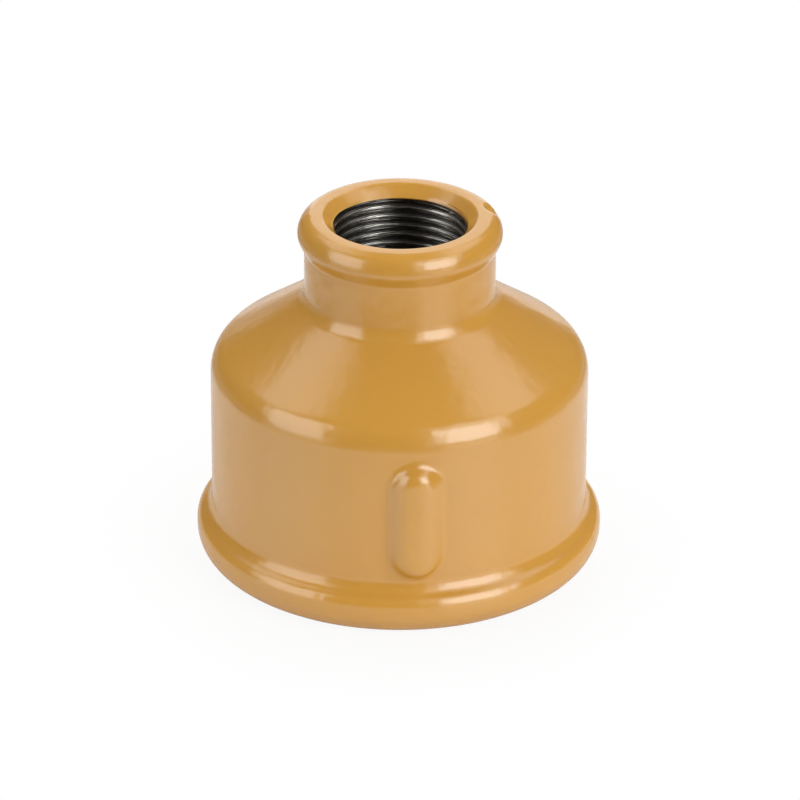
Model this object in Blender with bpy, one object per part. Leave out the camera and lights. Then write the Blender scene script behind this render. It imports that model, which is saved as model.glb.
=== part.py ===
"""Banded reducing coupling: one malleable-iron casting that joins a 2 inch pipe to a 3/4 inch pipe.

It stands on its large end. The bore runs along +Z, and the origin is the centre of the large end's face.
The half section is drawn as straight lines with rounded corners, spun about Z, and two grip ribs are
raised on the wall of the body. Both bores are at tapping size, ready for the pipe threads.
"""

import math

import bmesh
import bpy
from mathutils import Vector

MM = 0.001

HEIGHT = 67.5 * MM

# Large socket: 2 inch pipe thread, bored to its inner diameter
LARGE_BORE_RADIUS = 28.33 * MM
LARGE_THREAD_DEPTH = 24.0 * MM
LARGE_MOUTH_CHAMFER = 2.07 * MM
LARGE_SOCKET_WALL = 6.52 * MM

# Small socket: 3/4 inch pipe thread, bored to its inner diameter
SMALL_BORE_RADIUS = 12.06 * MM
SMALL_MOUTH_FLARE = 2.15 * MM
SMALL_MOUTH_DEPTH = 2.15 * MM
SMALL_MOUTH_ROUND = 1.0 * MM
SMALL_SOCKET_WALL = 5.49 * MM

# Body: an upright wall, a coned shoulder and a short neck
NECK_LENGTH = 16.3 * MM
NECK_ROUND = 3.7 * MM
SHOULDER_ANGLE = math.radians(34.0)
SHOULDER_ROUND = 5.6 * MM

# Band round the large end
LARGE_BAND_PROUD = 2.8 * MM
LARGE_BAND_WIDTH = 7.35 * MM
LARGE_BAND_FLANK = math.radians(32.0)
LARGE_BAND_FOOT_ROUND = 5.0 * MM
LARGE_BAND_TOP_ROUND = 2.5 * MM
LARGE_BAND_FILLET = 3.0 * MM

# Band round the small end
SMALL_BAND_PROUD = 1.2 * MM
SMALL_BAND_WIDTH = 4.2 * MM
SMALL_BAND_FLANK = math.radians(60.0)
SMALL_BAND_RIM_ROUND = 3.3 * MM
SMALL_BAND_FOOT_ROUND = 3.0 * MM
SMALL_BAND_FILLET = 1.5 * MM

# Cored waterway between the sockets
CORE_WALL = 4.6 * MM
CORE_ROUND = 4.0 * MM
CORE_NECK_ROUND = 1.2 * MM

# Grip ribs: round-ended bars on opposite sides of the body
RIB_AZIMUTHS = (math.radians(-90.0), math.radians(90.0))
RIB_ABOVE_BAND = 1.3 * MM
RIB_BELOW_SHOULDER = 4.6 * MM
RIB_HALF_WIDTH = 6.1 * MM
RIB_HEIGHT = 2.6 * MM
RIB_CREST_ROUND = 7.2 * MM
RIB_EDGE_ROUND = 2.5 * MM
RIB_FOOT_ROUND = 1.6 * MM

# Sizes that follow
BODY_RADIUS = LARGE_BORE_RADIUS + LARGE_SOCKET_WALL
NECK_RADIUS = SMALL_BORE_RADIUS + SMALL_SOCKET_WALL
SHOULDER_TOP = HEIGHT - NECK_LENGTH
SHOULDER_BOTTOM = SHOULDER_TOP - (BODY_RADIUS - NECK_RADIUS) * math.tan(SHOULDER_ANGLE)
LARGE_BAND_TOP = LARGE_BAND_WIDTH + LARGE_BAND_PROUD * math.tan(LARGE_BAND_FLANK)
RIB_BOTTOM = LARGE_BAND_TOP + RIB_ABOVE_BAND
RIB_TOP = SHOULDER_BOTTOM - RIB_BELOW_SHOULDER
RIB_ROUNDS = RIB_EDGE_ROUND + RIB_FOOT_ROUND
RIB_FLANK = math.sqrt(RIB_ROUNDS ** 2 - (RIB_ROUNDS - RIB_HEIGHT) ** 2)

# Fineness of the mesh
FACETS = 72
ARC_TURN = math.radians(15.0)
RIB_FLANK_STEPS = 6
RIB_CREST_STEPS = 2
RIB_BODY_ROWS = 4
BLEND_POWER = 3.0
SMOOTH_ANGLE = math.radians(35.0)
WELD = 1e-7


def arc_points(start, corner, end, radius):
    """Return the points of the arc that rounds off a corner, touching its sides at start and end."""
    chord_middle = (start + end) / 2
    half_chord = (end - start).length / 2
    to_centre = (chord_middle - corner).normalized()
    centre = chord_middle + to_centre * math.sqrt(max(radius ** 2 - half_chord ** 2, 0.0))
    turn = 2 * math.asin(min(half_chord / radius, 1.0))
    steps = max(2, math.ceil(turn / ARC_TURN))
    side = 1 if (start - centre).cross(end - centre) > 0 else -1
    first = math.atan2(start.y - centre.y, start.x - centre.x)
    angles = (first + side * turn * step / steps for step in range(steps + 1))
    return [centre + Vector((math.cos(angle), math.sin(angle))) * radius for angle in angles]


def rounded_outline(corners):
    """Return the points of a closed outline from its corners (r, z, rounding radius).

    Where two roundings meet on a short side, each is limited to its share of that side.
    """
    points = [Vector((r, z)) for r, z, _ in corners]
    count = len(points)
    sides = [points[(i + 1) % count] - points[i] for i in range(count)]
    reach = []
    for i, (_, _, radius) in enumerate(corners):
        turn = sides[i - 1].angle(sides[i])
        reach.append(radius * math.tan(turn / 2))
    outline = []
    for i, (_, _, radius) in enumerate(corners):
        if reach[i] < WELD:
            outline.append(points[i])
            continue
        before = sides[i - 1].length * reach[i] / (reach[i] + reach[i - 1])
        after = sides[i].length * reach[i] / (reach[i] + reach[(i + 1) % count])
        kept = min(reach[i], before, after)
        start = points[i] - sides[i - 1].normalized() * kept
        end = points[i] + sides[i].normalized() * kept
        outline += arc_points(start, points[i], end, radius * kept / reach[i])
    return outline


def outer_corners():
    """Return the outside of the half section, from the large end's face up to the small end's rim."""
    large_band_radius = BODY_RADIUS + LARGE_BAND_PROUD
    small_band_radius = NECK_RADIUS + SMALL_BAND_PROUD
    small_band_foot = HEIGHT - SMALL_BAND_WIDTH
    small_band_bottom = small_band_foot - SMALL_BAND_PROUD * math.tan(SMALL_BAND_FLANK)
    return [
        (large_band_radius, 0.0, LARGE_BAND_FOOT_ROUND),
        (large_band_radius, LARGE_BAND_WIDTH, LARGE_BAND_TOP_ROUND),
        (BODY_RADIUS, LARGE_BAND_TOP, LARGE_BAND_FILLET),
        (BODY_RADIUS, SHOULDER_BOTTOM, SHOULDER_ROUND),
        (NECK_RADIUS, SHOULDER_TOP, NECK_ROUND),
        (NECK_RADIUS, small_band_bottom, SMALL_BAND_FILLET),
        (small_band_radius, small_band_foot, SMALL_BAND_FOOT_ROUND),
        (small_band_radius, HEIGHT, SMALL_BAND_RIM_ROUND),
    ]


def inner_corners():
    """Return the inside of the half section, from the small end's rim down to the large end's face.

    The waterway's cone runs parallel to the shoulder, so that the casting's wall stays even.
    """
    core_radius = BODY_RADIUS - CORE_WALL
    core_drop = CORE_WALL * math.cos(SHOULDER_ANGLE) / (1 + math.sin(SHOULDER_ANGLE))
    core_bottom = SHOULDER_BOTTOM - core_drop
    core_top = core_bottom + (core_radius - SMALL_BORE_RADIUS) * math.tan(SHOULDER_ANGLE)
    undercut = abs(core_radius - LARGE_BORE_RADIUS)
    return [
        (SMALL_BORE_RADIUS + SMALL_MOUTH_FLARE, HEIGHT, SMALL_MOUTH_ROUND),
        (SMALL_BORE_RADIUS, HEIGHT - SMALL_MOUTH_DEPTH, 0.0),
        (SMALL_BORE_RADIUS, core_top, CORE_NECK_ROUND),
        (core_radius, core_bottom, CORE_ROUND),
        (core_radius, LARGE_THREAD_DEPTH + undercut, 0.0),
        (LARGE_BORE_RADIUS, LARGE_THREAD_DEPTH, 0.0),
        (LARGE_BORE_RADIUS, LARGE_MOUTH_CHAMFER, 0.0),
        (LARGE_BORE_RADIUS + LARGE_MOUTH_CHAMFER, 0.0, 0.0),
    ]


def spin_section(bm):
    """Spin the closed half section once round Z."""
    outline = rounded_outline(outer_corners() + inner_corners())
    ring = [bm.verts.new((point.x, 0.0, point.y)) for point in outline]
    edges = [bm.edges.new((ring[i - 1], ring[i])) for i in range(len(ring))]
    bmesh.ops.spin(
        bm,
        geom=ring + edges,
        cent=(0.0, 0.0, 0.0),
        axis=(0.0, 0.0, 1.0),
        angle=2 * math.pi,
        steps=FACETS,
        use_merge=True,
    )
    bmesh.ops.remove_doubles(bm, verts=bm.verts, dist=WELD)
    bmesh.ops.recalc_face_normals(bm, faces=bm.faces)


def is_outside(point):
    """Say whether a point lies on the outside of the body, and not on its inner wall."""
    return math.hypot(point.x, point.y) > BODY_RADIUS - CORE_WALL / 2


def rib_lift(across, beyond):
    """Return the rib's height above the wall, across from its middle line and beyond the line's end.

    The crest is rounded across. Its edge is rounded all the way round, and a fillet joins it to the wall.
    """
    inward = RIB_HALF_WIDTH - math.hypot(across, beyond)
    if inward <= 0.0:
        return 0.0
    if inward < RIB_FLANK * RIB_FOOT_ROUND / RIB_ROUNDS:
        step = RIB_FOOT_ROUND - math.sqrt(RIB_FOOT_ROUND ** 2 - inward ** 2)
    else:
        to_top = max(RIB_FLANK - inward, 0.0)
        step = RIB_HEIGHT - RIB_EDGE_ROUND + math.sqrt(RIB_EDGE_ROUND ** 2 - to_top ** 2)
    fall = RIB_CREST_ROUND - math.sqrt(RIB_CREST_ROUND ** 2 - across ** 2)
    return step * (1 - fall / RIB_HEIGHT)


def turn_from(azimuth, point):
    """Return the angle of a point round Z, counted from an azimuth and between -pi and pi."""
    turn = math.atan2(point.y, point.x) - azimuth
    return math.atan2(math.sin(turn), math.cos(turn))


def wall_faces(bm, azimuth):
    """Return the outside faces that lie behind the rib at an azimuth."""
    half_turn = RIB_HALF_WIDTH / BODY_RADIUS + math.pi / FACETS
    faces = []
    for face in bm.faces:
        middle = face.calc_center_median()
        if not is_outside(middle) or abs(turn_from(azimuth, middle)) > half_turn:
            continue
        heights = [vert.co.z for vert in face.verts]
        if min(heights) < RIB_TOP - WELD and max(heights) > RIB_BOTTOM + WELD:
            faces.append(face)
    return faces


def cut_faces(bm, faces, planes):
    """Cut faces along planes, each given as a point and a normal."""
    edges = dict.fromkeys(edge for face in faces for edge in face.edges)
    verts = dict.fromkeys(vert for face in faces for vert in face.verts)
    geometry = [*verts, *edges, *faces]
    for point, normal in planes:
        cut = bmesh.ops.bisect_plane(bm, geom=geometry, dist=WELD, plane_co=point, plane_no=normal)
        geometry = cut["geom"]


def rib_net_steps():
    """Return how far in from a rib's foot its net is cut, closest on the flank."""
    crest = RIB_HALF_WIDTH - RIB_FLANK
    steps = [RIB_FLANK * step / RIB_FLANK_STEPS for step in range(RIB_FLANK_STEPS)]
    return steps + [RIB_FLANK + crest * step / RIB_CREST_STEPS for step in range(RIB_CREST_STEPS + 1)]


def cut_rib_net(bm, azimuth):
    """Cut a fine net of faces into the wall where a rib stands."""
    steps = rib_net_steps()
    straight = RIB_TOP - RIB_BOTTOM - 2 * RIB_HALF_WIDTH
    heights = [RIB_BOTTOM + step for step in steps[1:]]
    heights += [steps[-1] + RIB_BOTTOM + straight * row / RIB_BODY_ROWS for row in range(1, RIB_BODY_ROWS)]
    heights += [RIB_TOP - step for step in steps[1:]]
    turns = [side * (RIB_HALF_WIDTH - step) / BODY_RADIUS for side in (-1, 1) for step in steps[:-1]]
    turns.append(0.0)
    level = (0.0, 0.0, 1.0)
    ends = [((0.0, 0.0, height), level) for height in (RIB_BOTTOM, RIB_TOP)]
    rows = [((0.0, 0.0, height), level) for height in heights]
    angles = [azimuth + turn for turn in turns]
    columns = [((0.0, 0.0, 0.0), (-math.sin(angle), math.cos(angle), 0.0)) for angle in angles]
    cut_faces(bm, wall_faces(bm, azimuth), ends)
    cut_faces(bm, wall_faces(bm, azimuth), rows + columns)


def raise_rib(bm, azimuth):
    """Lift the wall into a round-ended rib that blends into the wall and the band below it."""
    for vert in bm.verts:
        if not is_outside(vert.co) or not RIB_BOTTOM < vert.co.z < RIB_TOP:
            continue
        across = turn_from(azimuth, vert.co) * BODY_RADIUS
        from_end = min(vert.co.z - RIB_BOTTOM, RIB_TOP - vert.co.z)
        lift = rib_lift(across, max(RIB_HALF_WIDTH - from_end, 0.0))
        if lift <= WELD:
            continue
        radius = math.hypot(vert.co.x, vert.co.y)
        proud = max(radius - BODY_RADIUS, 0.0)
        blended = (proud ** BLEND_POWER + lift ** BLEND_POWER) ** (1 / BLEND_POWER)
        scale = max(radius, BODY_RADIUS + blended) / radius
        vert.co.x *= scale
        vert.co.y *= scale


def surface(name, colour, roughness, metallic):
    """Return a Principled BSDF material."""
    material = bpy.data.materials.new(name)
    material.use_nodes = True
    shader = material.node_tree.nodes["Principled BSDF"]
    shader.inputs["Base Color"].default_value = (*colour, 1.0)
    shader.inputs["Roughness"].default_value = roughness
    shader.inputs["Metallic"].default_value = metallic
    return material


def assign_surfaces(mesh):
    """Give the casting its coating, and leave the threaded stretches of both bores as bare iron."""
    mesh.materials.append(surface("ochre_coating", (0.58, 0.31, 0.07), 0.25, 0.0))
    mesh.materials.append(surface("bare_iron", (0.07, 0.07, 0.075), 0.4, 0.9))
    for face in mesh.polygons:
        radius = math.hypot(face.center.x, face.center.y)
        in_small_bore = radius <= SMALL_BORE_RADIUS + WELD
        in_large_bore = face.center.z < LARGE_THREAD_DEPTH and radius <= LARGE_BORE_RADIUS + WELD
        face.material_index = 1 if in_small_bore or in_large_bore else 0


def build_coupling():
    """Model the casting and add it to the scene."""
    bm = bmesh.new()
    spin_section(bm)
    for azimuth in RIB_AZIMUTHS:
        cut_rib_net(bm, azimuth)
        raise_rib(bm, azimuth)
    mesh = bpy.data.meshes.new("reducing_coupling")
    bm.to_mesh(mesh)
    bm.free()
    assign_surfaces(mesh)
    mesh.shade_smooth()
    mesh.set_sharp_from_angle(angle=SMOOTH_ANGLE)
    coupling = bpy.data.objects.new("reducing_coupling", mesh)
    bpy.context.collection.objects.link(coupling)


def main():
    for existing in list(bpy.data.objects):
        bpy.data.objects.remove(existing)
    build_coupling()


main()
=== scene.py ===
"""Looks of a banded reducing coupling: a glossy ochre coating over an iron casting with two bare threads.

The casting is one closed piece. Its half section is drawn as straight lines with rounded corners, and a
Geometry Nodes tree spins it, raises the two grip ribs and cuts both pipe threads as helices.
"""

import math

import bpy
from bpy.props import FloatProperty, FloatVectorProperty, IntProperty, PointerProperty
from mathutils import Matrix, Vector


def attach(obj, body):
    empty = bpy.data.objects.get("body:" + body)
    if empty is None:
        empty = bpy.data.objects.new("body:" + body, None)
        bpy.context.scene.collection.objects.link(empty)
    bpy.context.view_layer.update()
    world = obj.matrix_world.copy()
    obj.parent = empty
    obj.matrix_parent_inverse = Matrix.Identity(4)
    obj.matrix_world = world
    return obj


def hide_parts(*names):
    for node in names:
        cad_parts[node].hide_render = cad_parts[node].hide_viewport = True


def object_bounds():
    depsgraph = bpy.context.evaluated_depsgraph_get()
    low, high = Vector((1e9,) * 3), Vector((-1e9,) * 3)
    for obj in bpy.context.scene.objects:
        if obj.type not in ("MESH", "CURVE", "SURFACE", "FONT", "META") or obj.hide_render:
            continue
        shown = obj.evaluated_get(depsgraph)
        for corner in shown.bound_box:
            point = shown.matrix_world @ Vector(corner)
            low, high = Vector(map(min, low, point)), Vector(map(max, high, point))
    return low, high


bl_info = {
    "name": "Reducing Coupling",
    "version": (1, 0, 0),
    "blender": (4, 5, 0),
    "location": "3D View > Sidebar > Coupling",
    "description": "Adds a coated reducing coupling with cut pipe threads, and a pale studio round it",
    "category": "Add Mesh",
}

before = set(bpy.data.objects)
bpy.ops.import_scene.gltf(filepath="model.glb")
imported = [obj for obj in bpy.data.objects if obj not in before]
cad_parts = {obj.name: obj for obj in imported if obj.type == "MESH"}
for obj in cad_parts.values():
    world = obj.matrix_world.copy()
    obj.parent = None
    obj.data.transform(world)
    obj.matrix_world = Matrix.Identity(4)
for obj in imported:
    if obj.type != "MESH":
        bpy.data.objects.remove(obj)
CAD_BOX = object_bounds()

MM = 0.001
FULL_TURN = 2 * math.pi

HEIGHT = CAD_BOX[1][2] - CAD_BOX[0][2]
LARGE_BAND_RADIUS = (CAD_BOX[1][0] - CAD_BOX[0][0]) / 2

# The casting's mesh: lengths that count as nothing, how close two points are merged, the step between points
# on a slope, and the turn past which an edge stays sharp.
WELD = 1e-7
MERGE_REACH = 1e-6
SLOPE_STEP = 2 * MM
SHARP_EDGE = math.radians(40.0)

# A thread's groove: how many times steeper its sides are than a plain zigzag's, how soft its corners are,
# and how far outside its root a point still counts as the thread's.
GROOVE_SLOPE = 1.5
GROOVE_SOFTNESS = 0.2
GROOVE_MARGIN = 0.2 * MM

# How far the dent is pressed towards the axis, as a share of how far it is pressed down.
NICK_INWARD = 0.7

# Where the coating ends in a thread: the noise and the length by which its edge wanders, the length over
# which it fades, and the depth and reach of the painted highlight, a pale line along the coating's rounded
# edge just before it ends.
EDGE_NOISE = (350.0, 2.0)
EDGE_WANDER = 0.5 * MM
EDGE_FADE = 0.12 * MM
HIGHLIGHT_LINE_DEPTH = 0.25 * MM
HIGHLIGHT_LINE_REACH = 0.3 * MM

# The coating: its mottle, the painted shade that starts just above the small bore, its thickness and gloss,
# and its unevenness from coarse to fine, as noise scale, detail and height.
MOTTLE_NOISE = (60.0, 3.0)
MOTTLE_SHARE = 0.25
SHADE_RISE = 0.09 * MM
SHADE_FADE = 0.3 * MM
COATING_THICKNESS = 0.1 * MM
COATING_SPECULAR = 1.0
UNEVENNESS = ((140.0, 2.0, 0.22 * MM), (420.0, 2.0, 0.06 * MM), (1100.0, 1.0, 0.0015 * MM))

# The bare iron: crests lighter than the groove, partly wear and partly a painted highlight on the crests with
# painted shade down the groove, an extra painted highlight strongest on the first crest, more roughness down
# in the groove, and the fine level marks that the tap left.
WEAR_NOISE = (900.0, 3.0)
WEAR_AND_HIGHLIGHT_SHARE = 0.6
WEAR_AND_SHADE_FALL = 1.6
FIRST_CREST_DEPTH = 0.7 * MM
ROOT_ROUGHENING = 0.08
TOOL_MARK_PITCH = 0.16 * MM
TOOL_MARK_HEIGHT = 0.014 * MM

# The white table: its size and finish, the soft shadow at the coupling's foot, and how white the coating
# mirrors it.
FLOOR_HALF_SIDE = 6.0
WHITE = (1.0, 1.0, 1.0, 1.0)
TABLE_WHITE = (0.85, 0.85, 0.85, 1.0)
TABLE_ROUGHNESS = 0.35
SHADOW_SHARE = 0.08
SHADOW_REACH = 0.03
MIRRORED_SHARE = 0.15

# The dark cards: those round the table stand high in front, lean over it as a canopy and are low behind. A
# round one hangs above, and those on the table leave a gap. Their shade changes from front to back.
SURROUND_RADIUS = 1.3
SURROUND_COLUMNS = 48
SURROUND_ROWS = 12
HIGH_CARDS = math.radians(68.0)
HIGH_CARDS_EASE = math.radians(26.0)
HIGH_CARDS_TOP = math.radians(106.0)
LOW_CARDS_TOP = math.radians(42.0)
CANOPY = math.radians(55.0)
CANOPY_REACH = math.radians(18.0)
CEILING = math.radians(69.0)
TABLE_GAP = 0.13
TABLE_CARD_LIFT = MM
CARD_FADE = 0.3

# The softboxes: name, azimuth from the camera's, elevation, width, height and lean in degrees, the setting
# that holds its brightness, and its distance in metres. One of them is never mirrored.
SOFTBOXES = (
    ("key_softbox", 45.0, 25.5, 35.0, 45.0, 9.0, "key", 0.9),
    ("key_spill", 45.0, 26.0, 49.0, 76.0, 16.0, "spill", 0.92),
    ("key_corner", 64.0, 51.0, 22.0, 15.0, 0.0, "spill", 0.94),
    ("fill_softbox", -65.0, 21.0, 37.0, 55.0, -15.0, "fill", 0.9),
    ("backdrop_strip", 178.0, 22.0, 36.0, 50.0, 0.0, "backdrop", 0.9),
    ("backdrop_foot", -162.0, 5.0, 16.0, 11.0, 0.0, "foot", 0.95),
    ("window_right", 112.0, 54.0, 44.0, 20.0, 0.0, "windows", 0.96),
    ("window_left", -118.0, 52.0, 44.0, 22.0, 0.0, "windows", 0.96),
    ("overhead_softbox", 190.0, 55.0, 100.0, 36.0, 0.0, "overhead", 0.8),
)
NEVER_MIRRORED = "overhead_softbox"

# The camera: its sensor in millimetres, how far it sees, and the height of the point that it circles.
SENSOR_WIDTH = 36.0
CAMERA_REACH = 20.0
ORBIT_HEIGHT = 32.0 * MM

# The sizes that the whole casting's tree hands on to the trees of its parts.
RIB_SIZES = ("half_width", "height", "crest_round", "edge_round", "foot_round", "blend")
SOCKET_SIZES = (
    "bore_radius", "pitch", "thread_depth", "start_depth", "edge_depth", "edge_tilt", "run_in", "run_out"
)
NICK_SIZES = ("azimuth", "radius", "reach", "depth")


def number(label, description, default, **settings):
    """Return a property for a number."""
    return FloatProperty(name=label, description=description, default=default, **settings)


def length(label, description, default):
    """Return a property for a length in metres."""
    return number(label, description, default, subtype="DISTANCE", precision=5)


def angle(label, description, degrees):
    """Return a property for an angle, given in degrees."""
    return number(label, description, math.radians(degrees), subtype="ANGLE")


def share(label, description, default):
    """Return a property for a factor from 0 to 1."""
    return number(label, description, default, min=0.0, max=1.0, subtype="FACTOR")


def colour(label, description, default):
    """Return a property for a linear colour."""
    return FloatVectorProperty(
        name=label, description=description, default=default, size=3, min=0.0, max=1.0, subtype="COLOR"
    )


def brightness(label, description, default):
    """Return a property for a light's brightness, where 1 is that of the white room."""
    return number(label, description, default, min=0.0)


def face_count(label, description, default, least):
    """Return a property for a number of faces."""
    return IntProperty(name=label, description=description, default=default, min=least)


class BodySizes(bpy.types.PropertyGroup):
    """Sizes of the body, its shoulder, its neck and the cored waterway."""

    large_band_proud: length("Large Band Proud", "How far the band stands out from the body", 2.8 * MM)
    large_band_width: length("Large Band Width", "Height of the band's upright face", 7.35 * MM)
    large_band_flank: angle("Large Band Flank", "Slope of the band's upper side", 32.0)
    large_band_foot_round: length("Large Band Foot Round", "Rounding at the band's foot", 5.0 * MM)
    large_band_top_round: length("Large Band Top Round", "Rounding at the band's upper edge", 2.5 * MM)
    large_band_fillet: length("Large Band Fillet", "Fillet between the band and the body", 3.0 * MM)
    neck_length: length("Neck Length", "Height from the shoulder's corner to the rim", 16.3 * MM)
    neck_wall: length("Neck Wall", "Iron between the small thread and the neck's outside", 5.49 * MM)
    neck_round: length("Neck Round", "Fillet between the shoulder and the neck", 3.7 * MM)
    shoulder_angle: angle("Shoulder Angle", "Slope of the coned shoulder", 34.0)
    shoulder_round: length("Shoulder Round", "Rounding between the body and the shoulder", 5.6 * MM)
    small_band_proud: length("Small Band Proud", "How far the band stands out from the neck", 1.2 * MM)
    small_band_width: length("Small Band Width", "Height of the band's upright face", 4.2 * MM)
    small_band_flank: angle("Small Band Flank", "Slope of the band's lower side", 60.0)
    small_band_rim_round: length("Small Band Rim Round", "Rounding at the rim's outside", 3.3 * MM)
    small_band_foot_round: length("Small Band Foot Round", "Rounding at the band's lower edge", 3.0 * MM)
    small_band_fillet: length("Small Band Fillet", "Fillet between the neck and the band", 1.5 * MM)
    core_wall: length("Core Wall", "Iron round the cored waterway", 4.6 * MM)
    core_round: length("Core Round", "Rounding at the foot of the waterway's cone", 4.0 * MM)
    core_neck_round: length("Core Neck Round", "Rounding at the top of the waterway's cone", 1.2 * MM)


class RibSizes(bpy.types.PropertyGroup):
    """Sizes of the two grip ribs."""

    above_band: length("Above Band", "Gap between the large band and a rib's foot", 1.3 * MM)
    below_shoulder: length("Below Shoulder", "Gap between a rib's top and the shoulder", 4.6 * MM)
    half_width: length("Half Width", "From a rib's middle line to the end of its fillet", 6.1 * MM)
    height: length("Height", "How far a rib stands out from the body", 2.6 * MM)
    crest_round: length("Crest Round", "Rounding across a rib's crest", 7.2 * MM)
    edge_round: length("Edge Round", "Rounding along a rib's edge", 2.5 * MM)
    foot_round: length("Foot Round", "Fillet round a rib's foot", 1.6 * MM)
    blend: number("Blend", "How sharply a rib meets the band", 3.0, min=1.0)


class SmallSocketSizes(bpy.types.PropertyGroup):
    """Sizes of the small socket and its thread."""

    bore_radius: length("Bore Radius", "Inner radius of the thread", 12.06 * MM)
    mouth_flare: length("Mouth Flare", "How far the mouth opens beyond the bore", 2.15 * MM)
    mouth_depth: length("Mouth Depth", "Depth of the flared mouth", 2.15 * MM)
    mouth_round: length("Mouth Round", "Rounding at the mouth's lip", 1.0 * MM)
    pitch: length("Pitch", "Rise of the thread in one turn", 1.814 * MM)
    thread_depth: length("Thread Depth", "Depth of the thread's groove", 1.162 * MM)
    crest_depth: length("Crest Depth", "Depth of a crest at the back of the mouth", 2.13 * MM)
    start_depth: length("Start Depth", "Depth at which the thread starts", 1.5 * MM)
    edge_depth: length("Edge Depth", "Mean depth at which the coating ends", 2.9 * MM)
    edge_tilt: length("Edge Tilt", "How much deeper the coating ends on the right", 0.8 * MM)
    run_in: length("Run In", "Length over which the thread starts", 0.7 * MM)
    run_out: length("Run Out", "Length over which the thread dies away", 2.0 * MM)


class NickSizes(bpy.types.PropertyGroup):
    """Place and size of the small dent in the rim."""

    azimuth: angle("Azimuth", "Where round the rim the dent lies", 9.0)
    radius: length("Radius", "How far from the axis the dent lies", 18.0 * MM)
    reach: length("Reach", "Distance from the dent's middle to its edge", 2.8 * MM)
    depth: length("Depth", "Depth of the dent", 0.9 * MM)


class LargeSocketSizes(bpy.types.PropertyGroup):
    """Sizes of the large socket and its thread."""

    bore_radius: length("Bore Radius", "Inner radius of the thread", 28.33 * MM)
    mouth_chamfer: length("Mouth Chamfer", "Chamfer round the mouth", 2.07 * MM)
    bore_depth: length("Bore Depth", "Depth of the bored and threaded stretch", 24.0 * MM)
    pitch: length("Pitch", "Rise of the thread in one turn", 2.309 * MM)
    thread_depth: length("Thread Depth", "Depth of the thread's groove", 1.479 * MM)
    start_depth: length("Start Depth", "Depth at which the thread starts", 1.6 * MM)
    edge_depth: length("Edge Depth", "Mean depth at which the coating ends", 2.6 * MM)
    edge_tilt: length("Edge Tilt", "How much deeper the coating ends on one side", 0.3 * MM)
    run_in: length("Run In", "Length over which the thread starts", 0.6 * MM)
    run_out: length("Run Out", "Length over which the thread dies away", 0.4 * MM)


class CastingFineness(bpy.types.PropertyGroup):
    """How finely the casting is meshed."""

    columns: face_count("Columns", "Faces round the casting", 240, 24)
    crowding: share("Crowding", "How much closer the columns stand at the ribs", 0.7)
    arc_turn: angle("Arc Turn", "Largest turn between two points of a rounding", 7.5)
    wall_step: length("Wall Step", "Height of a face on the body's wall", 0.45 * MM)
    small_thread_rows: face_count("Small Thread Rows", "Faces in a pitch of the small thread", 12, 4)
    large_thread_rows: face_count("Large Thread Rows", "Faces in a pitch of the large thread", 10, 4)


class CoatingLook(bpy.types.PropertyGroup):
    """Colours and roughness of the coating and of the bare iron."""

    ochre: colour("Ochre", "The coating where it is thick", (0.60, 0.29, 0.042))
    # A paler ochre, mixed in at random as mottle, and as a painted highlight along the coating's rounded edge
    # in the threads.
    ochre_mottle_and_highlight: colour("Ochre Thin", "The coating where it is thin, on edges", (0.66, 0.36, 0.08))
    # Painted shade: the coating inside the small socket, darkened below its flared mouth.
    ochre_socket_shade: colour("Ochre Shaded", "The coating inside the small socket", (0.065, 0.028, 0.006))
    # Crests lighter than the groove: partly worn bare metal, partly a painted highlight on the crests and
    # painted shade down in the groove.
    iron_crest: colour("Iron Crest", "Bare iron on the thread's crests", (0.62, 0.60, 0.56))
    iron_root: colour("Iron Root", "Bare iron down in the thread", (0.20, 0.195, 0.18))
    roughness: share("Roughness", "Roughness of the coating", 0.2)
    iron_roughness: share("Iron Roughness", "Roughness of the iron where it is worn smooth", 0.18)


class StudioSettings(bpy.types.PropertyGroup):
    """Camera and lamps."""

    distance: length("Distance", "From the camera to the coupling", 1.0)
    elevation: angle("Elevation", "Camera's height as an angle", 26.8)
    azimuth: angle("Azimuth", "Camera's turn from the front", -5.3)
    roll: angle("Roll", "Camera's lean", 0.28)
    lens: number("Lens", "Focal length in millimetres", 243.2, min=1.0)
    aim_height: length("Aim Height", "Height of the point that the camera looks at", 29.74 * MM)
    aim_right: length("Aim Right", "How far right of the coupling's axis the camera looks", 0.13 * MM)
    key: brightness("Key", "Brightness of the softbox on the right", 3.5)
    spill: brightness("Spill", "Brightness of the key's soft border", 1.0)
    fill: brightness("Fill", "Brightness of the softbox on the left", 2.4)
    foot: brightness("Backdrop Foot", "Brightness beside the backdrop's foot", 0.4)
    windows: brightness("Windows", "Brightness of the two lights behind", 0.32)
    overhead: brightness("Overhead", "Brightness of the light overhead", 1.2)
    backdrop: brightness("Backdrop", "Brightness of the strip behind", 1.2)
    ambient: brightness("Ambient", "Brightness of the white room as a light", 1.0)


PROPERTY_GROUPS = {
    "coupling_body": BodySizes,
    "coupling_rib": RibSizes,
    "coupling_small_socket": SmallSocketSizes,
    "coupling_large_socket": LargeSocketSizes,
    "coupling_nick": NickSizes,
    "coupling_fineness": CastingFineness,
    "coupling_look": CoatingLook,
    "coupling_studio": StudioSettings,
}


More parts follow.
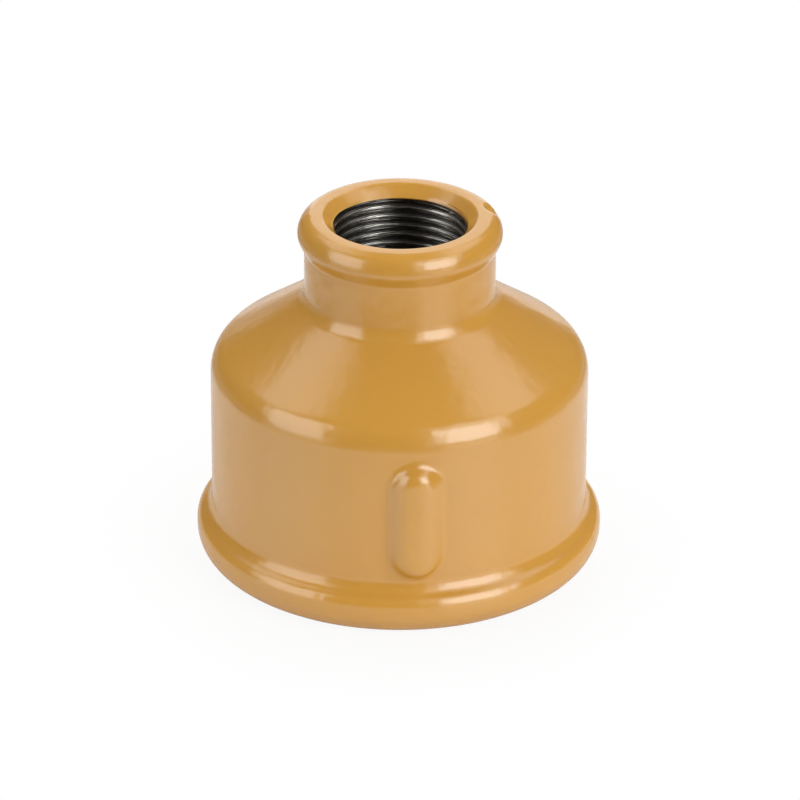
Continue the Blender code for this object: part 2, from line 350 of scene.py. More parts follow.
class Wire:
    """A node's output socket that Python arithmetic works on: each operation adds its Math node."""

    def __init__(self, bench, socket):
        self.bench = bench
        self.socket = socket

    def math(self, operation, *others):
        """Return the result of a Math node on this socket and other sockets or numbers."""
        return self.bench.add("ShaderNodeMath", {"operation": operation}, self, *others)

    def __add__(self, other):
        return self.math("ADD", other)

    __radd__ = __add__

    def __mul__(self, other):
        return self.math("MULTIPLY", other)

    __rmul__ = __mul__

    def __sub__(self, other):
        return self.math("SUBTRACT", other)

    def __rsub__(self, other):
        return self.bench.add("ShaderNodeMath", {"operation": "SUBTRACT"}, other, self)

    def __truediv__(self, other):
        return self.math("DIVIDE", other)

    def __rtruediv__(self, other):
        return self.bench.add("ShaderNodeMath", {"operation": "DIVIDE"}, other, self)

    def __pow__(self, other):
        return self.math("POWER", other)

    def __gt__(self, other):
        return self.math("GREATER_THAN", other)

    def __lt__(self, other):
        return self.math("LESS_THAN", other)

    def root(self):
        """Return the value's square root."""
        return self.math("SQRT")

    def at_least(self, other):
        """Return the larger of the value and another."""
        return self.math("MAXIMUM", other)

    def at_most(self, other):
        """Return the smaller of the value and another."""
        return self.math("MINIMUM", other)

    def clamped(self):
        """Return the value kept between 0 and 1."""
        return self.at_least(0.0).at_most(1.0)

    def eased(self):
        """Return a soft step from 0 to 1 as the value goes from 0 to 1."""
        kept = self.clamped()
        return kept * kept * (3.0 - 2.0 * kept)


class Bench:
    """Adds nodes to a tree, sets them and links them."""

    def __init__(self, tree):
        self.tree = tree

    def plug(self, socket, value):
        """Link a wire to an input socket, or set the socket's own value."""
        if isinstance(value, Wire):
            self.tree.links.new(value.socket, socket)
        else:
            socket.default_value = value

    def node(self, kind, settings=None, *values, **named):
        """Add a node: its settings first, then its inputs in order or by name. Return the node."""
        made = self.tree.nodes.new(kind)
        for name, value in (settings or {}).items():
            setattr(made, name, value)
        shown = [socket for socket in made.inputs if socket.enabled]
        for socket, value in zip(shown, values):
            self.plug(socket, value)
        for name, value in named.items():
            wanted = name.replace("_", " ").lower()
            socket = next(found for found in shown if found.name.lower() == wanted)
            self.plug(socket, value)
        return made

    def add(self, kind, settings=None, *values, **named):
        """Add a node and return its first output."""
        return self.out(self.node(kind, settings, *values, **named))

    def out(self, made, name=None):
        """Return a node's output, the first one that is in use unless a name is given."""
        shown = [socket for socket in made.outputs if socket.enabled]
        return Wire(self, shown[0] if name is None else made.outputs[name])

    def axes(self, place):
        """Return the three numbers of a place."""
        parts = self.node("ShaderNodeSeparateXYZ", None, place)
        return tuple(self.out(parts, axis) for axis in "XYZ")

    def object_place(self):
        """Return the place of a point of the surface, in the object's own axes."""
        return self.out(self.node("ShaderNodeTexCoord"), "Object")


def title(label):
    """Return the name that a group's input shows, from its name in Python."""
    return label.replace("_", " ").title()


class NodeGroup(Bench):
    """A Geometry Nodes tree with named inputs and their starting values, and one geometry output."""

    KINDS = {float: "NodeSocketFloat", int: "NodeSocketInt"}

    def __init__(self, name, **inputs):
        super().__init__(bpy.data.node_groups.new(name, "GeometryNodeTree"))
        interface = self.tree.interface
        interface.new_socket(name="Geometry", in_out="INPUT", socket_type="NodeSocketGeometry")
        for label, value in inputs.items():
            kind = self.KINDS.get(type(value), "NodeSocketMaterial")
            socket = interface.new_socket(name=title(label), in_out="INPUT", socket_type=kind)
            if type(value) in self.KINDS:
                socket.default_value = value
        interface.new_socket(name="Geometry", in_out="OUTPUT", socket_type="NodeSocketGeometry")
        self.entry = self.tree.nodes.new("NodeGroupInput")
        self.exit = self.tree.nodes.new("NodeGroupOutput")

    def input(self, label):
        """Return one of the group's inputs by its name in Python."""
        return Wire(self, self.entry.outputs[title(label)])

    def inputs(self, prefix, labels):
        """Return several of the group's inputs that share a prefix, by their names without it."""
        return {label: self.input(f"{prefix}_{label}") for label in labels}

    def finish(self, geometry):
        """Link the result to the group's output, and return the tree."""
        self.plug(self.exit.inputs[0], geometry)
        return self.tree

    def point(self):
        """Return a point's radius, azimuth and height."""
        x, y, z = self.axes(self.add("GeometryNodeInputPosition"))
        radius = (x * x + y * y).root()
        azimuth = y.math("ARCTAN2", x)
        return radius, azimuth, z

    def move(self, geometry, radius, azimuth, z, **selection):
        """Move the points, or the selected ones, to a radius, an azimuth and a height."""
        x = radius * azimuth.math("COSINE")
        y = radius * azimuth.math("SINE")
        spot = self.add("ShaderNodeCombineXYZ", None, x, y, z)
        return self.add("GeometryNodeSetPosition", None, geometry, position=spot, **selection)

    def attribute(self, name):
        """Return a stored number of each point."""
        return self.add("GeometryNodeInputNamedAttribute", {"data_type": "FLOAT"}, name)

    def store(self, geometry, name, value):
        """Keep a number on each point under a name, for the material to read."""
        settings = {"data_type": "FLOAT", "domain": "POINT"}
        return self.add("GeometryNodeStoreNamedAttribute", settings, geometry, name=name, value=value)

    def call(self, tree, geometry, **values):
        """Run another group on the geometry with its own input values."""
        return self.add("GeometryNodeGroup", {"node_tree": tree}, geometry, **values)


def arc_points(start, corner, end, radius, turn_step):
    """Return the points of the arc that rounds off a corner, touching its sides at start and end."""
    chord_middle = (start + end) / 2
    half_chord = (end - start).length / 2
    to_centre = (chord_middle - corner).normalized()
    centre = chord_middle + to_centre * math.sqrt(max(radius ** 2 - half_chord ** 2, 0.0))
    turn = 2 * math.asin(min(half_chord / radius, 1.0))
    steps = max(2, math.ceil(turn / turn_step))
    side = 1 if (start - centre).cross(end - centre) > 0 else -1
    first = math.atan2(start.y - centre.y, start.x - centre.x)
    bearings = (first + side * turn * step / steps for step in range(steps + 1))
    return [centre + Vector((math.cos(bearing), math.sin(bearing))) * radius for bearing in bearings]


def rounded_outline(corners, turn_step):
    """Return the points of a closed outline from its corners (r, z, rounding radius, step after it).

    Where two roundings meet on a short side, each is limited to its share of that side. A side with a
    step is cut into stretches of about that length.
    """
    points = [Vector((corner[0], corner[1])) for corner in corners]
    count = len(points)
    sides = [points[(i + 1) % count] - points[i] for i in range(count)]
    reach = [corner[2] * math.tan(sides[i - 1].angle(sides[i]) / 2) for i, corner in enumerate(corners)]
    stretches = []
    for i, (_, _, radius, _) in enumerate(corners):
        if reach[i] < WELD:
            stretches.append([points[i]])
            continue
        before = sides[i - 1].length * reach[i] / (reach[i] + reach[i - 1])
        after = sides[i].length * reach[i] / (reach[i] + reach[(i + 1) % count])
        kept = min(reach[i], before, after)
        start = points[i] - sides[i - 1].normalized() * kept
        end = points[i] + sides[i].normalized() * kept
        stretches.append(arc_points(start, points[i], end, radius * kept / reach[i], turn_step))
    outline = []
    for i, stretch in enumerate(stretches):
        outline += stretch
        gap = stretches[(i + 1) % count][0] - stretch[-1]
        cuts = round(gap.length / corners[i][3]) if corners[i][3] else 1
        outline += [stretch[-1] + gap * cut / cuts for cut in range(1, cuts)]
    return [point for i, point in enumerate(outline) if (point - outline[i - 1]).length > WELD]


class Section:
    """The casting's half section, worked out from the property groups."""

    def __init__(self, scene):
        self.body = scene.coupling_body
        self.small = scene.coupling_small_socket
        self.large = scene.coupling_large_socket
        self.fineness = scene.coupling_fineness
        self.body_radius = LARGE_BAND_RADIUS - self.body.large_band_proud
        self.neck_radius = self.small.bore_radius + self.body.neck_wall
        slope = math.tan(self.body.shoulder_angle)
        self.shoulder_top = HEIGHT - self.body.neck_length
        self.shoulder_bottom = self.shoulder_top - (self.body_radius - self.neck_radius) * slope
        flank_rise = self.body.large_band_proud * math.tan(self.body.large_band_flank)
        self.large_band_top = self.body.large_band_width + flank_rise
        self.core_radius = self.body_radius - self.body.core_wall
        bend = math.pi / 2 - self.body.shoulder_angle
        self.core_bottom = self.shoulder_bottom - self.body.core_wall * math.tan(bend / 2)
        self.core_top = self.core_bottom + (self.core_radius - self.small.bore_radius) * slope

    def outer_corners(self):
        """Return the outside, from the large end's face up to the small end's rim."""
        body = self.body
        small_band_radius = self.neck_radius + body.small_band_proud
        small_band_foot = HEIGHT - body.small_band_width
        small_band_bottom = small_band_foot - body.small_band_proud * math.tan(body.small_band_flank)
        return [
            (LARGE_BAND_RADIUS, 0.0, body.large_band_foot_round, None),
            (LARGE_BAND_RADIUS, body.large_band_width, body.large_band_top_round, None),
            (self.body_radius, self.large_band_top, body.large_band_fillet, self.fineness.wall_step),
            (self.body_radius, self.shoulder_bottom, body.shoulder_round, SLOPE_STEP),
            (self.neck_radius, self.shoulder_top, body.neck_round, None),
            (self.neck_radius, small_band_bottom, body.small_band_fillet, None),
            (small_band_radius, small_band_foot, body.small_band_foot_round, None),
            (small_band_radius, HEIGHT, body.small_band_rim_round, None),
        ]

    def inner_corners(self):
        """Return the inside, from the small end's rim down to the large end's face."""
        small, large, body = self.small, self.large, self.body
        small_step = small.pitch / self.fineness.small_thread_rows
        large_step = large.pitch / self.fineness.large_thread_rows
        undercut = self.core_radius - large.bore_radius
        return [
            (small.bore_radius + small.mouth_flare, HEIGHT, small.mouth_round, small_step * 2),
            (small.bore_radius, HEIGHT - small.mouth_depth, 0.0, small_step),
            (small.bore_radius, self.core_top, body.core_neck_round, SLOPE_STEP),
            (self.core_radius, self.core_bottom, body.core_round, SLOPE_STEP),
            (self.core_radius, large.bore_depth + undercut, 0.0, large_step),
            (large.bore_radius, large.bore_depth, 0.0, large_step),
            (large.bore_radius, large.mouth_chamfer, 0.0, large_step * 2),
            (large.bore_radius + large.mouth_chamfer, 0.0, 0.0, None),
        ]

    def outline(self):
        """Return the closed outline as points (r, z)."""
        corners = self.outer_corners() + self.inner_corners()
        return rounded_outline(corners, self.fineness.arc_turn)


def turned_section_group():
    """Build the group that spins an outline round Z, with its columns crowded at the ribs."""
    group = NodeGroup("Turned Section", columns=240, crowding=0.7)
    outline = group.input("geometry")
    columns = group.input("columns")
    counted = group.node("GeometryNodeAttributeDomainSize", {"component": "MESH"}, outline)
    rows = group.out(counted, "Point Count")
    grid = group.add("GeometryNodeMeshGrid", None, 1.0, 1.0, columns + 1.0, rows + 1.0)
    index = group.add("GeometryNodeInputIndex")
    row = index.math("MODULO", rows + 1.0)
    turn = (index - row) / (rows + 1.0) / columns * FULL_TURN
    azimuth = turn + group.input("crowding") / 2.0 * (turn * 2.0).math("SINE")
    corner = group.add(
        "GeometryNodeSampleIndex",
        {"data_type": "FLOAT_VECTOR", "domain": "POINT"},
        outline,
        group.add("GeometryNodeInputPosition"),
        row.math("MODULO", rows),
    )
    radius, _, z = group.axes(corner)
    placed = group.move(grid, radius, azimuth, z)
    return group.finish(group.add("GeometryNodeMergeByDistance", None, placed, distance=MERGE_REACH))


def grip_rib_group():
    """Build the group that raises a round-ended rib, blended into the wall and the band below it."""
    group = NodeGroup(
        "Grip Rib", azimuth=0.0, bottom=0.0, top=0.0, wall_radius=0.0, half_width=0.0, height=0.0,
        crest_round=0.0, edge_round=0.0, foot_round=0.0, blend=3.0,
    )
    radius, azimuth, z = group.point()
    wall, height, half = group.input("wall_radius"), group.input("height"), group.input("half_width")
    crest, edge = group.input("crest_round"), group.input("edge_round")
    foot, blend = group.input("foot_round"), group.input("blend")
    across = (azimuth - group.input("azimuth")).math("WRAP", math.pi, -math.pi) * wall
    beyond = (group.input("bottom") + half - z).at_least(z - group.input("top") + half).at_least(0.0)
    inward = (half - (across * across + beyond * beyond).root()).at_least(0.0)
    rounds = edge + foot
    flank = (rounds * rounds - (rounds - height) ** 2.0).root()
    to_top = (flank - inward).at_least(0.0)
    on_edge = height - edge + (edge * edge - to_top * to_top).at_least(0.0).root()
    on_foot = foot - (foot * foot - inward * inward).at_least(0.0).root()
    is_foot = inward < flank * foot / rounds
    step = group.add("GeometryNodeSwitch", {"input_type": "FLOAT"}, is_foot, on_edge, on_foot)
    fall = crest - (crest * crest - across * across).at_least(0.0).root()
    lift = step * (1.0 - fall / height).at_least(0.0)
    proud = (radius - wall).at_least(0.0)
    raised = wall + (proud ** blend + lift ** blend) ** (1.0 / blend)
    outside = radius > wall - foot
    lifted = lift > WELD
    proudest = radius.at_least(raised)
    moved = group.move(group.input("geometry"), proudest, azimuth, z, selection=outside * lifted)
    return group.finish(moved)


def pipe_thread_group():
    """Build the group that cuts a right-hand pipe thread into a bore, as deep as the bore leaves it.

    Direction is 1 where the socket opens upwards and -1 where it opens downwards. Each point keeps its
    distance into the bare, threaded stretch, and how far it lies down the thread's groove.
    """
    group = NodeGroup(
        "Pipe Thread", mouth=0.0, direction=1.0, bore_radius=0.0, pitch=0.001, thread_depth=0.0,
        crest_depth=0.0, start_depth=0.0, edge_depth=0.0, edge_tilt=0.0, run_in=0.001, end_depth=0.0,
        run_out=0.001,
    )
    radius, azimuth, z = group.point()
    pitch, direction, bore = group.input("pitch"), group.input("direction"), group.input("bore_radius")
    depth = (group.input("mouth") - z) * direction
    edge = group.input("edge_depth") + group.input("edge_tilt") * azimuth.math("COSINE")
    past_edge = depth - edge
    past_start = depth - group.input("start_depth")
    before_end = group.input("end_depth") - depth
    fade = (past_start / group.input("run_in")).eased() * (before_end / group.input("run_out")).eased()
    turns = (azimuth - math.pi / 2) / FULL_TURN * direction
    phase = (depth - group.input("crest_depth")) / pitch + turns
    ramp = 1.0 - (2.0 * phase.math("FRACT") - 1.0).math("ABSOLUTE")
    steep = GROOVE_SLOPE * ramp - (GROOVE_SLOPE - 1.0) / 2
    flattened = steep.math("SMOOTH_MAX", 0.0, GROOVE_SOFTNESS).math("SMOOTH_MIN", 1.0, GROOVE_SOFTNESS)
    groove = flattened * fade
    cut = radius.at_least(bore + group.input("thread_depth") * groove)
    within = bore + group.input("thread_depth") + GROOVE_MARGIN - radius
    inside = (past_start > 0.0) * (before_end > 0.0)
    moved = group.move(group.input("geometry"), cut, azimuth, z, selection=inside)
    bare = past_edge.at_most(before_end).at_most(within).at_least(group.attribute("bare_depth"))
    groove = (groove * inside * (within > 0.0)).at_least(group.attribute("groove"))
    return group.finish(group.store(group.store(moved, "bare_depth", bare), "groove", groove))


def rim_nick_group():
    """Build the group that presses a small dent into the rim, downwards and towards the axis."""
    group = NodeGroup("Rim Nick", azimuth=0.0, radius=0.0, height=0.0, reach=0.001, depth=0.0)
    radius, azimuth, z = group.point()
    around = (azimuth - group.input("azimuth")) * group.input("radius")
    outward = radius - group.input("radius")
    down = z - group.input("height")
    distance = (around * around + outward * outward + down * down).root()
    press = (1.0 - distance / group.input("reach")).eased() * group.input("depth")
    moved = group.move(group.input("geometry"), radius - press * NICK_INWARD, azimuth, z - press)
    return group.finish(moved)


def casting_group(values):
    """Build the tree of the whole casting, with an input for each of the values."""
    group = NodeGroup("Coupling Casting", **values)
    columns, crowding = group.input("columns"), group.input("crowding")
    made = group.call(turned_section_group(), group.input("geometry"), columns=columns, crowding=crowding)
    made = group.store(group.store(made, "bare_depth", -1.0), "groove", 0.0)
    rib = grip_rib_group()
    for azimuth in (-math.pi / 2, math.pi / 2):
        made = group.call(
            rib, made, azimuth=azimuth, bottom=group.input("rib_bottom"), top=group.input("rib_top"),
            wall_radius=group.input("wall_radius"), **group.inputs("rib", RIB_SIZES),
        )
    thread = pipe_thread_group()
    for socket, direction, mouth, crest_depth in (
        ("small", 1.0, group.input("height"), group.input("small_crest_depth")),
        ("large", -1.0, 0.0, 0.0),
    ):
        made = group.call(
            thread, made, mouth=mouth, direction=direction, crest_depth=crest_depth,
            end_depth=group.input(f"{socket}_end_depth"), **group.inputs(socket, SOCKET_SIZES),
        )
    nick = rim_nick_group()
    made = group.call(nick, made, height=group.input("height"), **group.inputs("nick", NICK_SIZES))
    made = group.add("GeometryNodeSetShadeSmooth", None, made, shade_smooth=True)
    made = group.add("GeometryNodeRealizeInstances", None, made)
    return group.finish(group.add("GeometryNodeSetMaterial", None, made, material=group.input("coating")))


def new_material(name):
    """Return a new material, a bench for its nodes and its shader."""
    material = bpy.data.materials.new(name)
    material.use_nodes = True
    return material, Bench(material.node_tree), material.node_tree.nodes["Principled BSDF"]


def coating_material(look, small):
    """Return the glossy ochre coating, with bare dark iron where the threads are cut."""
    material, bench, shader = new_material("ochre_coating_over_iron")
    place = bench.object_place()
    x, y, z = bench.axes(place)
    radius = (x * x + y * y).root()

    def stored(name):
        return bench.out(bench.node("ShaderNodeAttribute", {"attribute_name": name}), "Fac")

    def noise(scale, detail):
        return bench.add("ShaderNodeTexNoise", None, vector=place, scale=scale, detail=detail)

    def mix(factor, first, second):
        return bench.add("ShaderNodeMix", {"data_type": "RGBA"}, factor, first, second)

    bare_depth = stored("bare_depth") + (noise(*EDGE_NOISE) - 0.5) * EDGE_WANDER
    bare = (bare_depth / EDGE_FADE + 0.5).clamped()
    # Painted highlight: a pale line on the coating's rounded edge, just before the iron is bare.
    lip = (1.0 - (bare_depth + HIGHLIGHT_LINE_DEPTH).math("ABSOLUTE") / HIGHLIGHT_LINE_REACH).clamped()

    mottle = noise(*MOTTLE_NOISE) * MOTTLE_SHARE + MOTTLE_SHARE / 2
    ochre = mix((mottle + lip).clamped(), (*look.ochre, 1.0), (*look.ochre_mottle_and_highlight, 1.0))
    # Painted shade: the coating darkens inside the small socket, below its flared mouth.
    below_mouth = ((HEIGHT - small.mouth_depth + SHADE_RISE - z) / SHADE_FADE).clamped()
    in_socket = radius < small.bore_radius + small.mouth_flare
    ochre = mix(below_mouth * in_socket, ochre, (*look.ochre_socket_shade, 1.0))

    # The iron lightens on the crests and darkens down the groove: partly wear, partly painted highlight and
    # painted shade. The first crest gets an extra painted highlight.
    on_crest = (1.0 - stored("groove") * WEAR_AND_SHADE_FALL).clamped()
    first_crest_highlight = (1.0 - (bare_depth / FIRST_CREST_DEPTH - 1.0).math("ABSOLUTE")).clamped()
    worn = on_crest * (noise(*WEAR_NOISE) + first_crest_highlight) * WEAR_AND_HIGHLIGHT_SHARE
    iron = mix(worn, (*look.iron_root, 1.0), (*look.iron_crest, 1.0))
    iron_roughness = look.iron_roughness + (1.0 - worn) * ROOT_ROUGHENING

    bench.plug(shader.inputs["Base Color"], mix(bare, ochre, iron))
    bench.plug(shader.inputs["Metallic"], bare)
    bench.plug(shader.inputs["Roughness"], look.roughness + bare * (iron_roughness - look.roughness))
    shader.inputs["Specular IOR Level"].default_value = COATING_SPECULAR

    tool_marks = bare * (z * (FULL_TURN / TOOL_MARK_PITCH)).math("SINE") * TOOL_MARK_HEIGHT
    height = tool_marks - bare * COATING_THICKNESS
    for scale, detail, rise in UNEVENNESS:
        height = height + noise(scale, detail) * rise
    bump = bench.add("ShaderNodeBump", None, strength=1.0, distance=1.0, height=height)
    bench.plug(shader.inputs["Normal"], bump)
    return material


def add_object(name, data):
    """Add an object to the scene and return it."""
    made = bpy.data.objects.new(name, data)
    bpy.context.collection.objects.link(made)
    return made


def bake_to_mesh(made):
    """Turn an object's evaluated result into its plain mesh, and drop its modifiers."""
    graph = bpy.context.evaluated_depsgraph_get()
    mesh = bpy.data.meshes.new_from_object(made.evaluated_get(graph))
    made.modifiers.clear()
    made.data = mesh
    mesh.name = made.name


class COUPLING_OT_add_casting(bpy.types.Operator):
    """Add the coated casting, with its ribs and both threads, as one closed mesh"""

    bl_idname = "coupling.add_casting"
    bl_label = "Add Casting"
    bl_options = {"REGISTER", "UNDO"}

    def execute(self, context):
        """Spin the half section into the casting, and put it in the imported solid's place."""
        section = Section(context.scene)
        outline = section.outline()
        mesh = bpy.data.meshes.new("coupling_casting")
        edges = [(i, (i + 1) % len(outline)) for i in range(len(outline))]
        mesh.from_pydata([(point.x, 0.0, point.y) for point in outline], edges, [])
        casting = add_object("coupling_casting", mesh)
        values = self.tree_values(context.scene, section)
        shown = {title(label): value for label, value in values.items()}
        modifier = casting.modifiers.new("Casting", "NODES")
        modifier.node_group = casting_group(values)
        for item in modifier.node_group.interface.items_tree:
            if item.in_out == "INPUT" and item.name in shown:
                modifier[item.identifier] = shown[item.name]
        bake_to_mesh(casting)
        casting.data.set_sharp_from_angle(angle=SHARP_EDGE)
        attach(casting, "root")
        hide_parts("reducing_coupling")
        return {"FINISHED"}

    @staticmethod
    def tree_values(scene, section):
        """Return the values of the casting tree's inputs, by their names in Python."""
        rib, small, large = scene.coupling_rib, scene.coupling_small_socket, scene.coupling_large_socket
        values = {
            "columns": scene.coupling_fineness.columns,
            "crowding": scene.coupling_fineness.crowding,
            "height": HEIGHT,
            "wall_radius": section.body_radius,
            "rib_bottom": section.large_band_top + rib.above_band,
            "rib_top": section.shoulder_bottom - rib.below_shoulder,
            "small_crest_depth": small.crest_depth,
            "small_end_depth": HEIGHT - section.core_top,
            "large_end_depth": large.bore_depth + section.core_radius - large.bore_radius,
            "coating": coating_material(scene.coupling_look, small),
        }
        for prefix, sizes, labels in (
            ("rib", rib, RIB_SIZES),
            ("small", small, SOCKET_SIZES),
            ("large", large, SOCKET_SIZES),
            ("nick", scene.coupling_nick, NICK_SIZES),
        ):
            values.update({f"{prefix}_{label}": getattr(sizes, label) for label in labels})
        return values


def direction_to(azimuth, elevation):
    """Return the unit vector at an azimuth, counted from the front towards the right, and an elevation."""
    level = math.cos(elevation)
    return Vector((math.sin(azimuth) * level, -math.cos(azimuth) * level, math.sin(elevation)))


def facing(position, target):
    """Return the matrix that stands at a position and looks at a target."""
    turn = (target - position).to_track_quat("-Z", "Y").to_matrix().to_4x4()
    return Matrix.Translation(position) @ turn


def add_softbox(name, azimuth, elevation, width, height, lean, radiance, distance, target):
    """Add a rectangular lamp, placed and sized by the angles that it fills as the coupling sees it.

    A positive lean tips its top to the right, seen from behind it. All angles are in degrees. Return its
    object.
    """
    lamp = bpy.data.lights.new(name, "AREA")
    lamp.shape = "RECTANGLE"
    lamp.size = 2 * distance * math.tan(math.radians(width) / 2)
    lamp.size_y = 2 * distance * math.tan(math.radians(height) / 2)
    lamp.energy = radiance * math.pi * lamp.size * lamp.size_y
    softbox = add_object(name, lamp)
    position = target + direction_to(math.radians(azimuth), math.radians(elevation)) * distance
    softbox.matrix_world = facing(position, target) @ Matrix.Rotation(-math.radians(lean), 4, "Z")
    softbox.visible_camera = False
    return softbox


def dark_material(name, front_shade, back_shade, roughness, specular):
    """Return a material for the cards that keep pale reflections off the coating, lighter behind it."""
    material, bench, shader = new_material(name)
    _, y, _ = bench.axes(bench.object_place())
    behind = (y / CARD_FADE * 0.5 + 0.5).clamped()
    shade = front_shade + (back_shade - front_shade) * behind
    bench.plug(shader.inputs["Base Color"], bench.add("ShaderNodeCombineColor", None, shade, shade, shade))
    shader.inputs["Roughness"].default_value = roughness
    shader.inputs["Specular IOR Level"].default_value = specular
    return material


def card_top(aside):
    """Return the height, as an angle, of the cards round the table at an angle from the camera's side."""
    behind = min(max((aside - HIGH_CARDS) / HIGH_CARDS_EASE, 0.0), 1.0)
    top = HIGH_CARDS_TOP + (LOW_CARDS_TOP - HIGH_CARDS_TOP) * behind
    return top + CANOPY_REACH * max(1.0 - (aside / CANOPY) ** 2, 0.0)


def add_dark_surround(front):
    """Stand dark cards round the table and hang a round one above it, out of the camera's sight.

    The coating mirrors them, and the white room between them.
    """
    columns, rows = SURROUND_COLUMNS, SURROUND_ROWS
    turns = [FULL_TURN * column / columns for column in range(columns)]
    corners, faces = [], []
    for column, turn in enumerate(turns):
        top = card_top(abs(math.remainder(turn, FULL_TURN)))
        corners += [direction_to(front + turn, top * row / rows) * SURROUND_RADIUS for row in range(rows + 1)]
        first, second = column * (rows + 1), (column + 1) % columns * (rows + 1)
        faces += [(first + row, second + row, second + row + 1, first + row + 1) for row in range(rows)]
    faces.append(tuple(range(len(corners), len(corners) + columns)))
    corners += [direction_to(turn, CEILING) * SURROUND_RADIUS for turn in turns]
    cloth = dark_material("dark_cloth", front_shade=0.09, back_shade=0.13, roughness=1.0, specular=0.0)
    cards = add_stage_mesh("dark_surround", corners, faces, cloth)
    cards.visible_camera = False


def add_table_cards():
    """Lay dark cards on the table, with a round gap about the coupling where the white table shows."""
    columns = SURROUND_COLUMNS
    around = [direction_to(FULL_TURN * column / columns, 0.0) for column in range(columns)]
    lift = Vector((0.0, 0.0, TABLE_CARD_LIFT))
    corners = [way * reach + lift for reach in (TABLE_GAP, SURROUND_RADIUS) for way in around]
    faces = []
    for column in range(columns):
        following = (column + 1) % columns
        faces.append((column, following, columns + following, columns + column))
    acrylic = dark_material("dark_acrylic", front_shade=0.16, back_shade=0.5, roughness=0.2, specular=1.0)
    cards = add_stage_mesh("table_cards", corners, faces, acrylic)
    cards.visible_camera = cards.visible_shadow = False


def add_stage_mesh(name, corners, faces, material):
    """Add a mesh of the studio, which isn't part of the object, and return it."""
    mesh = bpy.data.meshes.new(name)
    mesh.from_pydata(corners, [], faces)
    mesh.materials.append(material)
    made = add_object(name, mesh)
    return made


def seen_rays(bench, rays):
    """Return 1 for rays that the camera sees, straight or through something clear, and 0 for others."""
    return bench.out(rays, "Is Camera Ray").at_least(bench.out(rays, "Is Transmission Ray"))


def floor_material():
    """Return a white table that reads as the background and still takes a soft shadow at the foot."""
    material, bench, lit = new_material("white_table")
    lit.inputs["Base Color"].default_value = TABLE_WHITE
    lit.inputs["Roughness"].default_value = TABLE_ROUGHNESS
    from_axis = bench.add("ShaderNodeVectorMath", {"operation": "LENGTH"}, bench.object_place())
    from_foot = from_axis - LARGE_BAND_RADIUS
    rays = bench.node("ShaderNodeLightPath")
    cover = seen_rays(bench, rays) * (1.0 - SHADOW_SHARE * (1.0 - (from_foot / SHADOW_REACH).eased()))
    cover = cover.at_least(bench.out(rays, "Is Glossy Ray") * MIRRORED_SHARE)
    glow = bench.add("ShaderNodeEmission", None, color=WHITE, strength=1.0)
    surface = bench.add("ShaderNodeMixShader", None, cover, bench.out(lit), glow)
    bench.plug(material.node_tree.nodes["Material Output"].inputs["Surface"], surface)
    return material


def set_world(scene, ambient):
    """Give the studio a white room where it is seen or mirrored, and a plain even light elsewhere."""
    world = bpy.data.worlds.new("white_room")
    scene.world = world
    world.use_nodes = True
    bench = Bench(world.node_tree)
    rays = bench.node("ShaderNodeLightPath")
    seen = seen_rays(bench, rays).at_least(bench.out(rays, "Is Glossy Ray"))
    background = world.node_tree.nodes["Background"]
    background.inputs["Color"].default_value = WHITE
    bench.plug(background.inputs["Strength"], ambient + (1.0 - ambient) * seen)


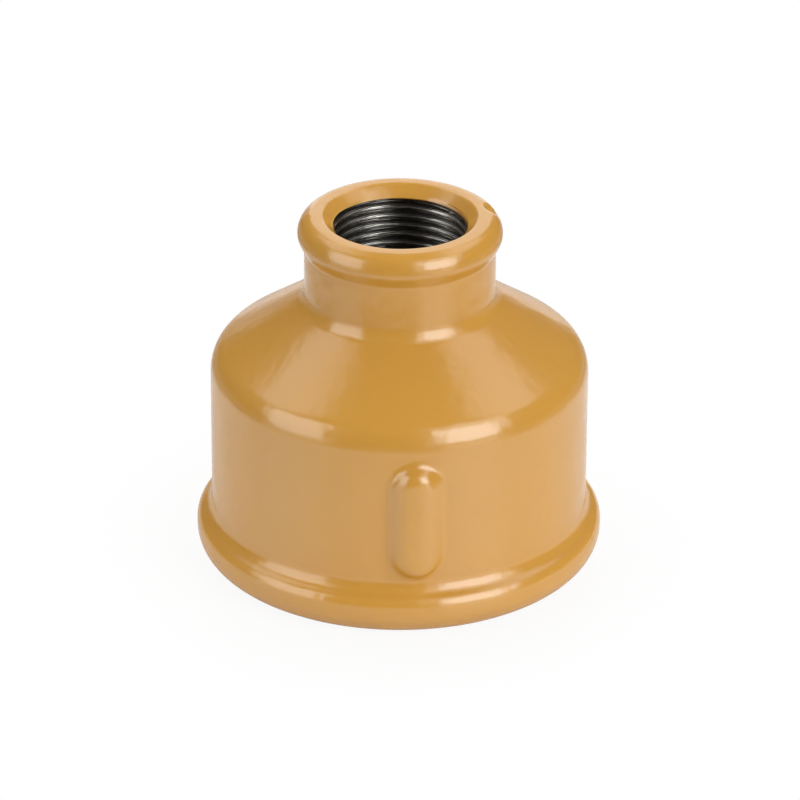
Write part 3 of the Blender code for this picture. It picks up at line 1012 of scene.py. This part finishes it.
class COUPLING_OT_set_studio(bpy.types.Operator):
    """Set up the pale floor, the softboxes and the camera"""

    bl_idname = "coupling.set_studio"
    bl_label = "Set Studio"
    bl_options = {"REGISTER", "UNDO"}

    def execute(self, context):
        """Lay the floor, light the coupling and aim the camera."""
        scene = context.scene
        studio = scene.coupling_studio
        self.add_floor()
        self.add_softboxes(studio)
        add_dark_surround(studio.azimuth)
        add_table_cards()
        set_world(scene, studio.ambient)
        self.add_camera(context, studio)
        scene.view_settings.view_transform = "Standard"
        return {"FINISHED"}

    @staticmethod
    def add_floor():
        """Add the white table that the coupling stands on."""
        half = FLOOR_HALF_SIDE
        corners = [(-half, -half, 0.0), (half, -half, 0.0), (half, half, 0.0), (-half, half, 0.0)]
        add_stage_mesh("floor", corners, [(0, 1, 2, 3)], floor_material())

    @staticmethod
    def add_softboxes(studio):
        """Add the softboxes round the coupling, as the camera sees it."""
        front = math.degrees(studio.azimuth)
        target = Vector((0.0, 0.0, HEIGHT / 2))
        for name, azimuth, elevation, width, height, lean, setting, distance in SOFTBOXES:
            radiance = getattr(studio, setting)
            softbox = add_softbox(
                name, front + azimuth, elevation, width, height, lean, radiance, distance, target
            )
            softbox.visible_glossy = name != NEVER_MIRRORED

    @staticmethod
    def add_camera(context, studio):
        """Add the camera and make it the scene's own."""
        camera = bpy.data.cameras.new("camera")
        camera.lens = studio.lens
        camera.sensor_width = SENSOR_WIDTH
        camera.clip_end = CAMERA_REACH
        middle = Vector((0.0, 0.0, ORBIT_HEIGHT))
        position = middle + direction_to(studio.azimuth, studio.elevation) * studio.distance
        to_right = Vector((math.cos(studio.azimuth), math.sin(studio.azimuth), 0.0))
        target = to_right * studio.aim_right + Vector((0.0, 0.0, studio.aim_height))
        seat = add_object("camera", camera)
        seat.matrix_world = facing(position, target) @ Matrix.Rotation(studio.roll, 4, "Z")
        context.scene.camera = seat


class COUPLING_PT_sidebar(bpy.types.Panel):
    """Lists the coupling's sizes, colours and steps"""

    bl_label = "Reducing Coupling"
    bl_space_type = "VIEW_3D"
    bl_region_type = "UI"
    bl_category = "Coupling"

    def draw(self, context):
        """Draw a box for each property group, then a button for each step."""
        for name, group in PROPERTY_GROUPS.items():
            box = self.layout.box()
            box.label(text=group.__name__)
            for prop in group.__annotations__:
                box.prop(getattr(context.scene, name), prop)
        self.layout.operator(COUPLING_OT_add_casting.bl_idname)
        self.layout.operator(COUPLING_OT_set_studio.bl_idname)


CLASSES = (*PROPERTY_GROUPS.values(), COUPLING_OT_add_casting, COUPLING_OT_set_studio, COUPLING_PT_sidebar)


def register():
    """Register the classes, and give scenes their property groups."""
    for cls in CLASSES:
        bpy.utils.register_class(cls)
    for name, group in PROPERTY_GROUPS.items():
        setattr(bpy.types.Scene, name, PointerProperty(type=group))


def unregister():
    """Take the property groups and the classes away again."""
    for name in PROPERTY_GROUPS:
        delattr(bpy.types.Scene, name)
    for cls in reversed(CLASSES):
        bpy.utils.unregister_class(cls)


def main():
    """Build the coupling and its studio."""
    register()
    bpy.ops.coupling.add_casting()
    bpy.ops.coupling.set_studio()


if __name__ == "__main__":
    main()
